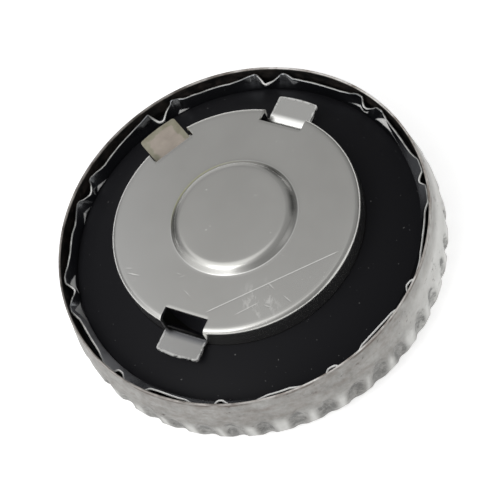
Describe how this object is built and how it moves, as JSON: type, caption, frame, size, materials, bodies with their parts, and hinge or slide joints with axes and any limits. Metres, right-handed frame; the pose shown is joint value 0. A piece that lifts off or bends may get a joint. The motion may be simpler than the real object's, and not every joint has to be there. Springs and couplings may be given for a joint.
{
  "type": "fuel filler cap",
  "caption": "Vented bayonet fuel filler cap of pressed steel: fluted shell, rubber gasket, pleated retaining band and a locking cup with lugs bent out of its edge.",
  "frame": {"origin": "centre of the closed outer face", "axes": "+Z along the cap's axis, out of the open side towards the filler neck; the lugs stand at 60, 120 and 240 degrees from +X"},
  "size_m": [0.097, 0.097, 0.0269],
  "materials": {
    "shell_steel": "dull zinc, mottled",
    "cup_steel": "satin, scratched",
    "band_steel": "bright",
    "plate_steel": "zinc plated",
    "gasket_rubber": "glossy moulded",
    "valve_rubber": "matt",
    "spring_steel": "drawn wire",
    "filter_felt": "felt"
  },
  "bodies": {
    "cap": {"outer_shell": "shell_steel", "pleated_band": "band_steel", "sealing_gasket": "gasket_rubber", "backing_plate": "plate_steel", "locking_cup": "cup_steel", "filter_pad": "filter_felt", "spring_seat": "plate_steel", "valve_spring": "spring_steel"},
    "vent_valve": {"valve_seal": "valve_rubber", "valve_disc": "plate_steel", "valve_stem": "plate_steel"}
  },
  "joints": [
    {"name": "vent_valve_lift", "type": "slide", "parent": "cap", "child": "vent_valve", "axis": [0, 0, 1], "range_m": [0, 0.002], "stiffness_N_per_m": 100, "springref_m": -0.003, "deforming": ["valve_spring"]}
  ]
}
